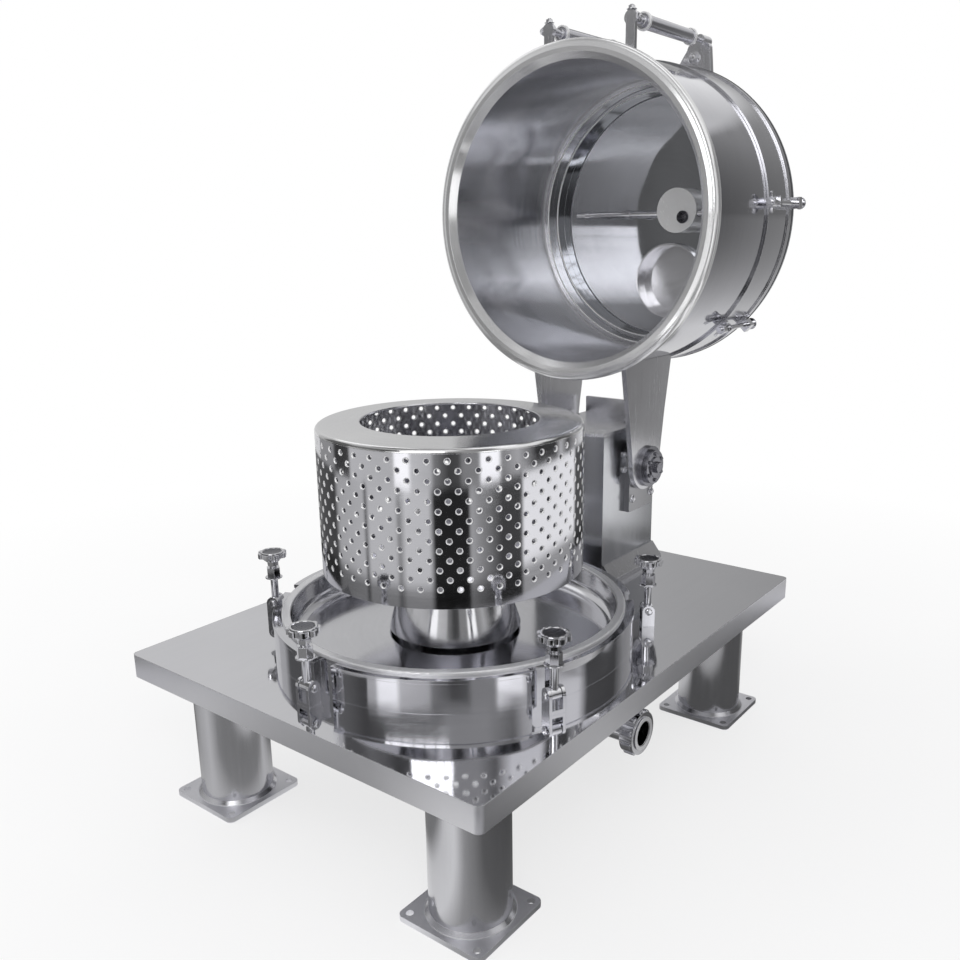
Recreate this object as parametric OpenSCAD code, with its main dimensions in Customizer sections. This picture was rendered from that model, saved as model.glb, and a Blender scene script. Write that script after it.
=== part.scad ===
// Flat-plate basket centrifuge with a full-opening cover, stainless steel.
// Origin: centre of the foot bolt pattern, on the floor. X is the width, +Y the hinge side, +Z up.
// The cover is drawn open, as it stands on its stop.

/* [Base plate and legs] */
// Width of the base plate
deck_w = 1008; // [980:1:1100]
// Depth of the base plate
deck_l = 1336; // [1320:1:1450]
// Thickness of the base plate
deck_t = 54; // [40:1:70]
// Height of the base plate's top above the floor
deck_h = 366; // [330:1:420]
// Corner radius of the base plate
deck_corner = 15; // [5:1:30]
// Outer radius of a leg tube
leg_r = 82; // [70:1:88]
// Wall of a leg tube
leg_wall = 6; // [4:0.5:10]
// Distance from a leg's axis to the base plate's edges
leg_inset = 147; // [140:1:170]
// Width of a foot plate
foot_w = 203; // [195:1:230]
// Thickness of a foot plate
foot_t = 12; // [8:1:20]
// Corner radius of a foot plate
foot_corner = 14; // [8:1:20]
// Distance from a foot hole to the foot plate's edges
foot_hole_inset = 18; // [16:1:20]
// Radius of a foot hole
foot_hole_r = 8; // [6:0.5:9]
// Leg of the weld collar round each tube end
weld_leg = 9; // [5:1:12]

/* [Tray] */
// Distance from the base plate's centre forward to the basket's axis
basket_forward = 130; // [110:1:150]
// Outer radius of the tray's outer wall
tray_r = 418; // [410:1:425]
// Thickness of the tray's outer wall
tray_wall_t = 4; // [3:0.5:6]
// Height of the ledge above the base plate
ledge_h = 73; // [60:1:80]
// Thickness of the ledge
ledge_t = 8; // [5:1:12]
// Outer radius of the seal rim
rim_r = 399; // [392:1:402]
// Inner radius of the seal rim
rim_bore_r = 379; // [370:1:384]
// Height of the seal rim's top above the base plate
rim_h = 80; // [77:1:84]
// Rounding of the seal rim's top edges
rim_round = 3; // [1:0.5:3]
// Half width of the pocket that each swing bolt stands in
pocket_half_w = 26; // [20:1:30]
// Height of the pan's floor above the base plate, at the wall
pan_floor_h = 8; // [4:1:20]
// Thickness of the pan
pan_t = 4; // [3:0.5:6]
// Radius of the bend between the pan's floor and its wall
pan_bend_r = 30; // [15:1:30]
// Height of the pan's neck round the bearing housing
pan_neck_h = 40; // [25:1:60]

/* [Basket] */
// Outer radius of the basket
basket_r = 300; // [285:1:302]
// Thickness of the basket's wall
basket_wall_t = 5; // [3:0.5:8]
// Height of the basket's underside above the base plate
basket_lift = 172; // [160:1:176]
// Height of the perforated wall
basket_wall_h = 323; // [318:1:326]
// Thickness of the basket's floor
basket_floor_t = 10; // [8:1:16]
// Radius of the basket's mouth
mouth_r = 203; // [180:1:230]
// Rise of the lip above the wall's top edge
lip_rise = 15; // [12:1:18]
// Thickness of the lip
lip_t = 6; // [4:0.5:8]
// Rounding of the lip's shoulder
shoulder_r = 10; // [6:1:12]
// Radius of a drain hole in the wall
hole_r = 5; // [3:0.25:6]
// Number of half pitches round the wall
hole_columns = 92; // [80:4:96]
// Height of the lowest row above the basket's underside
hole_low = 42; // [35:1:50]
// Pitch between rows
hole_pitch = 20.5; // [18:0.5:20.5]

/* [Spindle and bearing] */
// Bottom radius of the skirt under the basket
skirt_r = 155; // [140:1:160]
// Top radius of the skirt
skirt_top_r = 108; // [100:1:120]
// Thickness of the skirt
skirt_t = 3; // [2:0.5:5]
// Gap between the skirt and the pan's floor
skirt_gap = 9; // [6:1:15]
// Radius of the bearing housing above the base plate
housing_r = 78; // [70:1:84]
// Gap between the bearing housing's top and the basket
housing_gap = 12; // [6:1:20]
// Radius of the spindle
spindle_r = 30; // [25:1:35]
// Step from the spindle's shaft to its seat in the basket's floor
spindle_step = 6; // [4:1:10]
// Bottom radius of the cone that locks the basket
cone_r = 62; // [50:1:80]
// Height of the cone that locks the basket
cone_h = 40; // [30:1:44]
// Depth of the bearing housing below the base plate's underside
housing_drop = 90; // [60:1:110]
// Stand-out and thickness of the bearing housing's flange
housing_flange = [42, 16];
// Half width of the belt guard
guard_r = 125; // [110:1:140]
// Height of the belt guard
guard_h = 92; // [70:1:110]
// Running clearance of a shaft in its bore, on radius
fit_gap = 0.05; // [0.02:0.01:0.1]

/* [Cover] */
// Outer radius of the cover's shell
shell_r = 390; // [380:1:394]
// Thickness of the shell's double wall
shell_build = 28; // [24:1:28]
// Thickness of each skin of the shell
skin_t = 4; // [3:0.5:6]
// Depth of the shell from its mouth to the lid's seat
shell_depth = 466; // [460:1:480]
// Stand-out of the bead round the mouth
bead_stand = 17; // [12:1:18]
// Height of the bead along the cover's axis
bead_h = 34; // [30:1:36]
// Rounding of the bead
bead_round = 12; // [8:1:14]
// Width of the bevel inside the mouth, which clears the basket as the cover closes
mouth_bevel_w = 14; // [12:1:16]
// Height of the bevel inside the mouth
mouth_bevel_h = 18; // [16:1:19]
// Height of the inner face of the mouth ring
mouth_ring_h = 20; // [20:1:24]
// Stand-out of the lid flange
lid_flange_stand = 10; // [6:1:12]
// Thickness of the lid flange
lid_flange_t = 22; // [16:1:26]
// Step in from the shell's bore to the lid flange's bore
lid_flange_step = 9; // [6:1:12]
// Stand-out of the band in front of the lid flange
band_stand = 6; // [3:1:8]
// Length of the band in front of the lid flange
band_l = 123; // [80:1:130]
// Thickness of the lid's rim
lid_rim_t = 16; // [12:1:20]
// Depth of the lid's dish behind its seat
lid_dish = 38; // [34:1:50]
// Step in from the lid flange's bore to the lid's dish
lid_dish_step = 17; // [12:1:20]
// Thickness of the lid's sheet
lid_t = 8; // [5:1:10]
// Height of the closed mouth above the base plate
seat_h = 87; // [86:1:92]

/* [Fittings in the lid] */
// Distance from the cover's middle to the feed nozzle, to the right
feed_x = 85; // [75:1:95]
// Height of the feed nozzle above the cover's middle
feed_rise = 18; // [10:1:25]
// Outer radius of the feed nozzle
feed_r = 60; // [50:1:62]
// Wall of the feed nozzle
feed_wall = 5; // [3:0.5:8]
// Reach of the feed nozzle in front of the lid's inner face
feed_in = 75; // [60:1:75]
// Reach of the feed nozzle behind the lid
feed_out = 40; // [30:1:60]
// Radius of the hole in the feed nozzle's front face
feed_hole_r = 14; // [10:1:18]
// Distance from the cover's middle to the inspection port, to the right
port_x = 40; // [30:1:50]
// Distance from the cover's middle down to the inspection port
port_drop = 175; // [170:1:185]
// Radius of the inspection port
port_r = 105; // [90:1:105]
// Distance from the lid's inner face forward to the wash pipe
wash_off = 62; // [55:1:62]
// Height of the wash pipe above the cover's middle
wash_rise = 10; // [5:1:20]
// Radius of the wash pipe
wash_r = 9; // [6:1:9]
// Distance from the cover's middle to the wash pipe's free end
wash_left = 245; // [230:1:260]

/* [Cover hinge] */
// Distance from the basket's axis back to the hinge axis
pivot_back = 655; // [653:1:660]
// Height of the hinge axis above the base plate
pivot_h = 289; // [285:1:291]
// Radius of the hinge shaft
shaft_r = 20; // [15:1:24]
// Half width of the hinge box
box_half_w = 110; // [100:1:116]
// Depth of the hinge box
box_l = 270; // [250:1:290]
// Distance from the hinge axis forward to the box's front
box_forward = 175; // [165:1:185]
// Height of the hinge box
box_h = 394; // [380:1:400]
// Wall of the hinge box
box_wall = 5; // [3:0.5:8]
// Thickness of the box's lid
box_lid_t = 8; // [5:1:12]
// Bow of the box lid's front edge
box_lid_bow = 24; // [15:1:30]
// Height and thickness of the upstand at the box's back
box_upstand = [44, 12];
// Width and height of the sloped rails at the box's foot
box_rail = [34, 44];
// Thickness of a bearing ear
ear_t = 16; // [12:1:18]
// Radius of a bearing ear's round top
ear_r = 62; // [50:1:64]
// Width of a bearing ear's foot
ear_w = 130; // [126:1:136]
// Distance from the hinge axis down to a bearing ear's foot
ear_drop = 120; // [90:1:140]
// Side gap between an ear and its arm
arm_gap = 5; // [5:0.5:7]
// Thickness of a hinge arm
arm_t = 14; // [10:1:16]
// Radius of a hinge arm's round end
arm_end_r = 72; // [60:1:78]
// Radius and length of the hub's flange outside a hinge arm
hub_flange = [56, 10];
// Radius and length of the disc on that flange
hub_disc = [46, 12];
// Radius and length of the hub's cap
hub_cap = [28, 4];

/* [Swing bolts] */
// Distance from the basket's axis to a swing bolt's pin
bolt_circle_r = 458; // [458:1:464]
// Height of a swing bolt's pin above the base plate
bolt_pin_h = 38; // [34:1:44]
// Radius of a swing bolt's rod
rod_r = 9; // [7:0.5:10]
// Radius of a swing bolt's eye
eye_r = 13; // [12:0.5:16]
// Radius of a swing bolt's pin
pin_r = 5; // [4:0.5:6]
// Gap between a swing bolt's eye and its bracket's cheeks
eye_gap = 1; // [0.5:0.5:2]
// Thickness of a bracket's cheek
cheek_t = 7; // [5:0.5:9]
// Half width of a bracket's cheek
cheek_r = 15; // [13:1:18]
// Thickness of a bracket's base
bracket_base_t = 8; // [5:1:10]
// Height of the knob's middle above the base plate
knob_h = 154; // [150:1:160]
// Outer radius of a knob
knob_r = 34; // [28:1:34]
// Thickness of a knob
knob_t = 22; // [16:1:24]
// Thickness of a knob's scalloped disc
knob_disc_t = 12; // [8:1:16]
// Number of scallops round a knob
knob_lobes = 8; // [6:1:10]
// Radius and height of the lock nut on a swing bolt
lock_nut = [17, 24];
// Distance from the knob's middle down to the lock nut's top
lock_nut_drop = 28; // [20:1:40]

/* [Lid springs and clamps] */
// Distance from the cover's middle to a lid spring
spring_x = 118; // [110:1:122]
// Rise of a lid spring above the shell
spring_rise = 79; // [70:1:90]
// Radius of a lid spring's tube
spring_r = 17; // [14:1:20]
// Radius of a lid spring's rod
spring_rod_r = 6; // [4:1:8]
// Distance from the mouth to a spring bracket
bracket_depth = 98; // [90:1:110]
// Width and thickness of a spring bracket's strap
strap_size = [24, 12];
// Length of a lid spring's front eye
spring_eye_l = 47; // [40:1:55]
// Length of a lid spring's tube
spring_tube_l = 253; // [240:1:260]
// Width of a rear spring lug at its foot
lug_foot_w = 140; // [110:1:144]
// Width of a rear spring lug at its top
lug_top_w = 65; // [50:1:70]
// Corner radius of a rear spring lug's top
lug_corner = 14; // [8:1:20]
// Drop from a spring's axis to the top of its rear lug
lug_drop = 7; // [4:1:9]
// Radius and length of the block that holds a spring's rod on its lug
spring_block = [14, 46];
// Distance from the shell out to a lid clamp's bolt
clamp_off = 22; // [20:1:26]
// Radius of a lid clamp's bolt
clamp_bolt_r = 6; // [5:0.5:8]
// Radius and length of a lid clamp's hand nut
clamp_nut = [12, 30];
// Half width of a lid clamp's lugs
clamp_lug_half_w = 14; // [10:1:18]
// Thickness of a lid clamp's front lug
clamp_lug_t = 12; // [8:1:16]

/* [Drain] */
// Distance from the basket's axis to the drain hole
drain_offset = 318; // [312:1:322]
// Outer radius of the drain pipe
drain_r = 30; // [25:1:34]
// Wall of the drain pipe
drain_wall = 3; // [2:0.5:4]
// Radius and length of the drain's union nut
drain_nut = [46, 30];
// Stand-out of the union nut past the base plate's edge
drain_stand = 4; // [0:1:20]
// Distance from the base plate's underside down to the drain pipe's axis
drain_drop = 52; // [50:1:60]

/* [Hidden] */
$fn = 96;
round_fn = 180;
small_fn = 32;
steel = [0.78, 0.78, 0.80];
bright = [0.86, 0.86, 0.88];
dull = [0.62, 0.63, 0.65];

// Seat gap between curved faces of pieces that are fixed to each other
seat = 0.3;
// How far a cut runs past the faces it goes through
cut = 1;
clamp_angles = [-90, -25, 40, 140, 205];
lid_clamp_angles = [4, -44, 176, 224];

basket_y = -basket_forward;
deck_under = deck_h - deck_t;
leg_x = deck_w / 2 - leg_inset;
leg_y = deck_l / 2 - leg_inset;
foot_hole_off = foot_w / 2 - foot_hole_inset;
pan_r = rim_bore_r + pan_t;
pan_top = deck_h + pan_floor_h + pan_t;
basket_z = deck_h + basket_lift;
basket_top = basket_z + basket_wall_h;
housing_low = deck_under - housing_drop;
pivot_y = basket_y + pivot_back;
pivot_z = deck_h + pivot_h;
box_front = pivot_y - box_forward;
mouth_y = pivot_y - (pivot_h - seat_h);
mouth_z = pivot_z + pivot_back;
shell_bore_r = shell_r - shell_build;
bead_r = shell_r + bead_stand;
lid_flange_r = shell_r + lid_flange_stand;
lid_flange_z = shell_depth - lid_flange_t;
lid_r = lid_flange_r - 2;
lid_dish_r = shell_bore_r - lid_flange_step - lid_dish_step;
lid_floor = shell_depth + lid_dish;
arm_x = box_half_w + ear_t + arm_gap;
bolt_slot = 2 * (rod_r + 2 + eye_gap);
spring_y = -sqrt(shell_r * shell_r - spring_x * spring_x) - spring_rise;
spring_block_z = shell_depth - 4;
clamp_r = shell_r + clamp_off;
drain_z = deck_under - drain_drop;
drain_end = deck_w / 2 + drain_stand;

module rounded_slab(w, l, t, r) {
    union() {
        translate([-w / 2 + r, -l / 2, 0]) cube([w - 2 * r, l, t]);
        translate([-w / 2, -l / 2 + r, 0]) cube([w, l - 2 * r, t]);
        for (x = [-1, 1], y = [-1, 1])
            translate([x * (w / 2 - r), y * (l / 2 - r), 0]) cylinder(r = r, h = t, $fn = small_fn);
    }
}

module ring(r_out, r_in, h) {
    difference() {
        cylinder(r = r_out, h = h, $fn = round_fn);
        translate([0, 0, -cut]) cylinder(r = r_in, h = h + 2 * cut, $fn = round_fn);
    }
}

// Places a child drawn on its own axis, mouth at z = 0, on the open cover
module on_cover() {
    translate([0, mouth_y, mouth_z]) rotate([-90, 0, 0]) children();
}

// Places a child at a swing bolt's pin, with local x pointing outwards
module at_bolt(k) {
    translate([0, basket_y, deck_h]) rotate([0, 0, clamp_angles[k]])
        translate([bolt_circle_r, 0, bolt_pin_h]) children();
}

module deck() {
    color(bright) difference() {
        translate([0, 0, deck_under]) rounded_slab(deck_w, deck_l, deck_t, deck_corner);
        translate([0, basket_y, deck_under - cut]) cylinder(r = housing_r + seat, h = deck_t + 2 * cut);
        translate([drain_offset, basket_y, deck_under - cut]) cylinder(r = drain_r + seat, h = deck_t + 2 * cut);
    }
}

module leg(x, y) {
    color(steel) translate([x, y, 0]) difference() {
        union() {
            rounded_slab(foot_w, foot_w, foot_t, foot_corner);
            cylinder(r = leg_r, h = deck_under);
            translate([0, 0, foot_t]) cylinder(r1 = leg_r + weld_leg, r2 = leg_r, h = weld_leg);
            translate([0, 0, deck_under - weld_leg]) cylinder(r1 = leg_r, r2 = leg_r + weld_leg, h = weld_leg);
        }
        translate([0, 0, foot_t]) cylinder(r = leg_r - leg_wall, h = deck_under);
        for (i = [-1, 1], j = [-1, 1])
            translate([i * foot_hole_off, j * foot_hole_off, -cut]) cylinder(r = foot_hole_r, h = foot_t + 2 * cut);
    }
}

// Flat disc that is set back to a smaller radius at each swing bolt
module pocketed_disc(r_out, r_back, half_w) {
    union() {
        difference() {
            circle(r = r_out, $fn = round_fn);
            for (a = clamp_angles) rotate([0, 0, a])
                translate([r_back / 2, -half_w]) square([r_out, 2 * half_w]);
        }
        circle(r = r_back, $fn = round_fn);
    }
}

// Outer wall, set back to the seal rim's radius where each swing bolt stands
module tray_wall() {
    color(bright) translate([0, basket_y, deck_h]) linear_extrude(ledge_h - ledge_t) difference() {
        pocketed_disc(tray_r, rim_r, pocket_half_w);
        pocketed_disc(tray_r - tray_wall_t, rim_r - tray_wall_t, pocket_half_w + tray_wall_t);
    }
}

// The ledge has the same pockets as the wall under it
module tray_ledge() {
    color(bright) translate([0, basket_y, deck_h + ledge_h - ledge_t]) difference() {
        ring(tray_r + 2, rim_bore_r, ledge_t);
        for (a = clamp_angles) rotate([0, 0, a])
            translate([rim_r, -pocket_half_w, -cut]) cube([tray_r, 2 * pocket_half_w, ledge_t + 2 * cut]);
    }
}

module tray_rim() {
    rise = rim_h - ledge_h;
    color(steel) translate([0, basket_y, deck_h + ledge_h]) rotate_extrude($fn = round_fn) union() {
        translate([rim_bore_r, 0]) square([rim_r - rim_bore_r, rise - rim_round]);
        translate([rim_bore_r + rim_round, 0]) square([rim_r - rim_bore_r - 2 * rim_round, rise]);
        for (r = [rim_bore_r + rim_round, rim_r - rim_round])
            translate([r, rise - rim_round]) circle(r = rim_round, $fn = small_fn);
    }
}

// Pan: floor, neck round the bearing housing, and a wall that bends up to the ledge
module tray_pan() {
    pan_h = ledge_h - ledge_t - pan_floor_h;
    neck_r = housing_r + seat;
    bend_at = pan_r - pan_bend_r;
    color(bright) translate([0, basket_y, deck_h + pan_floor_h]) difference() {
        rotate_extrude($fn = round_fn) union() {
            translate([neck_r, 0]) square([pan_t, pan_neck_h]);
            translate([neck_r, 0]) square([bend_at - neck_r, pan_t]);
            translate([pan_r - pan_t, pan_bend_r]) square([pan_t, pan_h - pan_bend_r]);
            intersection() {
                translate([bend_at, pan_bend_r]) difference() {
                    circle(r = pan_bend_r, $fn = small_fn);
                    circle(r = pan_bend_r - pan_t, $fn = small_fn);
                }
                translate([bend_at, 0]) square([pan_bend_r, pan_bend_r]);
            }
        }
        translate([drain_offset, 0, -cut]) cylinder(r = drain_r - drain_wall, h = pan_t + 2 * cut);
    }
}

module bearing_housing() {
    height = deck_h + basket_lift - housing_gap - housing_low;
    color(dull) translate([0, basket_y, housing_low]) difference() {
        union() {
            cylinder(r = housing_r, h = height);
            translate([0, 0, housing_drop - housing_flange[1]])
                cylinder(r = housing_r + housing_flange[0], h = housing_flange[1]);
        }
        translate([0, 0, -cut]) cylinder(r = spindle_r + fit_gap, h = height + 2 * cut);
    }
}

// Closed guard round the belt drive, bolted under the base plate
module belt_guard() {
    guard_z = housing_low - guard_h;
    motor_y = box_front + box_l / 2;
    motor_r = 80;
    shaft_room = 12;
    floor_t = 6;
    color(dull) union() {
        difference() {
            union() {
                translate([0, basket_y, guard_z]) cylinder(r = guard_r, h = guard_h);
                translate([0, motor_y, guard_z]) cylinder(r = guard_r, h = guard_h);
                translate([-guard_r, basket_y, guard_z]) cube([2 * guard_r, motor_y - basket_y, guard_h]);
            }
            translate([0, basket_y, guard_z + floor_t]) cylinder(r = spindle_r + shaft_room, h = guard_h);
        }
        translate([0, motor_y, guard_z + guard_h]) cylinder(r = motor_r, h = housing_drop);
    }
}

// Elbow and pipe from the pan to the union nut under the base plate's right edge
module drain_pipe() {
    bore = drain_r - drain_wall;
    run = drain_end - drain_offset;
    color(bright) translate([drain_offset, basket_y, drain_z]) difference() {
        union() {
            cylinder(r = drain_r, h = deck_h + pan_floor_h - drain_z);
            sphere(r = drain_r);
            rotate([0, 90, 0]) cylinder(r = drain_r, h = run);
            translate([run - drain_nut[1], 0, 0]) rotate([0, 90, 0]) cylinder(r = drain_nut[0], h = drain_nut[1]);
        }
        cylinder(r = bore, h = deck_h);
        sphere(r = bore);
        rotate([0, 90, 0]) cylinder(r = bore, h = run + cut);
    }
}

module hinge_box() {
    shaft_room = 3;
    color(steel) translate([0, box_front, deck_h]) difference() {
        translate([-box_half_w, 0, 0]) cube([2 * box_half_w, box_l, box_h]);
        translate([-box_half_w + box_wall, box_wall, -cut])
            cube([2 * (box_half_w - box_wall), box_l - 2 * box_wall, box_h + 2 * cut]);
        translate([-box_half_w - cut, box_forward, pivot_h]) rotate([0, 90, 0])
            cylinder(r = shaft_r + shaft_room, h = 2 * (box_half_w + cut));
    }
}

// Lid of the box: a plate with a bowed front edge, and an upstand along its back
module hinge_box_lid() {
    bow_r = (box_half_w * box_half_w + box_lid_bow * box_lid_bow) / (2 * box_lid_bow);
    color(bright) translate([0, box_front, deck_h + box_h]) union() {
        translate([-box_half_w, 0, 0]) cube([2 * box_half_w, box_l, box_lid_t]);
        intersection() {
            translate([0, bow_r - box_lid_bow, 0]) cylinder(r = bow_r, h = box_lid_t, $fn = round_fn);
            translate([-box_half_w, -box_lid_bow, 0]) cube([2 * box_half_w, box_lid_bow + cut, box_lid_t]);
        }
        translate([-box_half_w, box_l - box_upstand[1], box_lid_t])
            cube([2 * box_half_w, box_upstand[1], box_upstand[0]]);
    }
}

// Sloped rails along both sides of the box's foot
module hinge_box_feet() {
    edge = 8;
    top_w = 6;
    w = box_rail[0];
    h = box_rail[1];
    color(steel) for (side = [0, 1]) mirror([side, 0, 0])
        translate([box_half_w, box_front, deck_h]) rotate([90, 0, 0]) mirror([0, 0, 1])
            linear_extrude(box_l) polygon([[0, 0], [w, 0], [w, edge], [top_w, h], [0, h]]);
}

module hinge_ear(side) {
    color(dull) mirror([side, 0, 0]) translate([box_half_w, pivot_y, pivot_z]) rotate([90, 0, 90]) difference() {
        union() {
            cylinder(r = ear_r, h = ear_t);
            translate([-ear_w / 2, -ear_drop, 0]) cube([ear_w, ear_drop, ear_t]);
        }
        translate([0, 0, -cut]) cylinder(r = shaft_r + fit_gap, h = ear_t + 2 * cut);
    }
}

module clamp_brackets() {
    cheek_y = (bolt_slot + cheek_t) / 2;
    color(steel) for (k = [0:len(clamp_angles) - 1]) at_bolt(k) union() {
        for (s = [-1, 1]) translate([0, s * cheek_y - cheek_t / 2, 0]) difference() {
            union() {
                translate([-cheek_r, 0, -bolt_pin_h]) cube([2 * cheek_r, cheek_t, bolt_pin_h]);
                rotate([-90, 0, 0]) cylinder(r = cheek_r, h = cheek_t, $fn = small_fn);
            }
            translate([0, -cut, 0]) rotate([-90, 0, 0])
                cylinder(r = pin_r + fit_gap, h = cheek_t + 2 * cut, $fn = small_fn);
        }
        translate([-cheek_r, -bolt_slot / 2 - cheek_t, -bolt_pin_h])
            cube([2 * cheek_r, bolt_slot + 2 * cheek_t, bracket_base_t]);
    }
}

// Rod with its eye, its lock nut and the pin that turns in the bracket
module swing_bolt(k) {
    rod_top = knob_h - bolt_pin_h - knob_t / 2;
    eye_w = bolt_slot - 2 * eye_gap;
    pin_l = bolt_slot + 2 * cheek_t + 4;
    nut_z = knob_h - bolt_pin_h - lock_nut_drop - lock_nut[1];
    color(bright) at_bolt(k) union() {
        cylinder(r = rod_r, h = rod_top, $fn = small_fn);
        translate([0, -eye_w / 2, 0]) rotate([-90, 0, 0]) cylinder(r = eye_r, h = eye_w, $fn = small_fn);
        translate([0, -pin_l / 2, 0]) rotate([-90, 0, 0]) cylinder(r = pin_r, h = pin_l, $fn = small_fn);
        translate([0, 0, nut_z]) cylinder(r = lock_nut[0], h = lock_nut[1], $fn = 6);
    }
}

// Hand knob: a thin disc with a scalloped edge on a conical neck
module knob(k) {
    neck_r = knob_r / 2;
    neck_top_r = neck_r + 7;
    scallop_r = 9;
    scallop_off = knob_r + 4;
    color(bright) at_bolt(k) translate([0, 0, knob_h - bolt_pin_h - knob_t / 2]) difference() {
        union() {
            cylinder(r1 = neck_r, r2 = neck_top_r, h = knob_t - knob_disc_t, $fn = small_fn);
            translate([0, 0, knob_t - knob_disc_t]) cylinder(r = knob_r, h = knob_disc_t);
        }
        for (i = [0:knob_lobes - 1]) rotate([0, 0, (i + 0.5) * 360 / knob_lobes])
            translate([scallop_off, 0, -cut]) cylinder(r = scallop_r, h = knob_t + 2 * cut, $fn = small_fn);
    }
}

// Wall with drilled drain holes in staggered rows
module basket_wall() {
    step = 360 / hole_columns;
    past = 3;
    color(bright) translate([0, basket_y, basket_z]) difference() {
        ring(basket_r, basket_r - basket_wall_t, basket_wall_h);
        for (row = [2, 3, 6, 7, 10, 11], col = [0, hole_columns / 2])
            rotate([0, 0, (col + (row % 2) * hole_columns / 4) * step])
                translate([basket_r - basket_wall_t - past, 0, hole_low + row * hole_pitch])
                    rotate([0, 90, 0]) cylinder(r = hole_r, h = basket_wall_t + 2 * past, $fn = 16);
    }
}

module basket_lip() {
    top_r = basket_r - shoulder_r;
    color(bright) translate([0, basket_y, basket_top]) rotate_extrude($fn = round_fn)
        polygon([[mouth_r, lip_rise - lip_t], [mouth_r, lip_rise], for (a = [0:15:90])
            [top_r + shoulder_r * sin(a), shoulder_r * cos(a)], [basket_r - basket_wall_t, 0]]);
}

module basket_floor() {
    color(steel) translate([0, basket_y, basket_z]) difference() {
        cylinder(r = basket_r - basket_wall_t - seat, h = basket_floor_t, $fn = round_fn);
        translate([0, 0, -cut]) cylinder(r = spindle_r - spindle_step + seat, h = basket_floor_t + 2 * cut);
    }
}

module basket_skirt() {
    skirt_h = basket_z - pan_top - skirt_gap;
    color(bright) translate([0, basket_y, basket_z - skirt_h]) rotate_extrude($fn = round_fn)
        polygon([[skirt_r - skirt_t, 0], [skirt_r, 0], [skirt_top_r, skirt_h], [skirt_top_r - skirt_t, skirt_h]]);
}

module spindle() {
    tail = 60;
    low_z = housing_low - tail;
    color(dull) translate([0, basket_y, 0]) union() {
        translate([0, 0, low_z]) cylinder(r = spindle_r, h = basket_z - low_z);
        translate([0, 0, basket_z]) cylinder(r = spindle_r - spindle_step, h = basket_floor_t);
        translate([0, 0, basket_z + basket_floor_t]) cylinder(r1 = cone_r, r2 = spindle_r, h = cone_h);
    }
}

module shell_inner() {
    color(steel) on_cover() translate([0, 0, mouth_ring_h])
        ring(shell_bore_r + skin_t, shell_bore_r, lid_flange_z - mouth_ring_h);
}

module shell_outer() {
    color(steel) on_cover() translate([0, 0, bead_h])
        ring(shell_r, shell_r - skin_t, lid_flange_z - bead_h);
}

// Mouth ring: bevelled bore, flat sealing face and rounded bead
module mouth_ring() {
    bead_c = bead_r - bead_round;
    face_r = bead_r - 20;
    color(bright) on_cover() rotate_extrude($fn = round_fn) polygon(concat(
        [[shell_bore_r, mouth_bevel_h], [shell_bore_r + mouth_bevel_w, 0], [face_r, 0]],
        [for (a = [0:15:90]) [bead_c + bead_round * sin(a), 2 + bead_round - bead_round * cos(a)]],
        [for (a = [0:15:90]) [bead_c + bead_round * cos(a), bead_h - bead_round + bead_round * sin(a)]],
        [[shell_r - skin_t, bead_h], [shell_r - skin_t, mouth_ring_h], [shell_bore_r, mouth_ring_h]]));
}

// Flange that the lid seats on, with the band that stiffens the shell in front of it
module lid_flange() {
    color(bright) on_cover() union() {
        translate([0, 0, lid_flange_z]) ring(lid_flange_r, shell_bore_r - lid_flange_step, lid_flange_t);
        translate([0, 0, lid_flange_z - band_l]) ring(shell_r + band_stand, shell_r + seat, band_l + cut);
    }
}

// Dished lid on the flange at the shell's far end
module lid() {
    color(bright) on_cover() difference() {
        rotate_extrude($fn = round_fn) polygon([[lid_dish_r, shell_depth], [lid_r, shell_depth],
            [lid_r, shell_depth + lid_rim_t], [lid_dish_r + lid_t, shell_depth + lid_rim_t],
            [lid_dish_r + lid_t, lid_floor + lid_t], [0, lid_floor + lid_t],
            [0, lid_floor], [lid_dish_r, lid_floor]]);
        translate([port_x, port_drop, lid_floor - cut]) cylinder(r = port_r, h = lid_t + 2 * cut);
        translate([feed_x, -feed_rise, lid_floor - cut]) cylinder(r = feed_r + seat, h = lid_t + 2 * cut);
    }
}

// Feed nozzle through the lid, closed in front but for one spout hole
module feed_nozzle() {
    front_t = 6;
    flange = [14, 12];
    spout = [20, 18];
    length = feed_in + lid_t + feed_out;
    color(steel) on_cover() translate([feed_x, -feed_rise, lid_floor - feed_in]) difference() {
        union() {
            cylinder(r = feed_r, h = length);
            translate([0, 0, length - flange[1]]) cylinder(r = feed_r + flange[0], h = flange[1]);
        }
        translate([0, 0, front_t]) cylinder(r = feed_r - feed_wall, h = length);
        translate([spout[0], spout[1], -cut]) cylinder(r = feed_hole_r, h = front_t + 2 * cut);
    }
}

// Wash pipe across the cover, in two lengths seated on the feed nozzle; the right one ends at the lid flange
module wash_pipe() {
    edge = wash_rise + wash_r;
    bore = shell_bore_r - lid_flange_step;
    right = sqrt(bore * bore - edge * edge) - seat;
    collar = [4, 16];
    color(bright) on_cover() difference() {
        translate([0, -wash_rise, lid_floor - wash_off]) rotate([0, 90, 0]) union() {
            translate([0, 0, -wash_left]) cylinder(r = wash_r, h = wash_left + right, $fn = small_fn);
            for (x = [30, 165])
                translate([0, 0, x - wash_left]) cylinder(r = wash_r + collar[0], h = collar[1], $fn = small_fn);
        }
        translate([feed_x, -feed_rise, lid_floor - feed_in]) cylinder(r = feed_r + seat, h = feed_in);
    }
}

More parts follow.
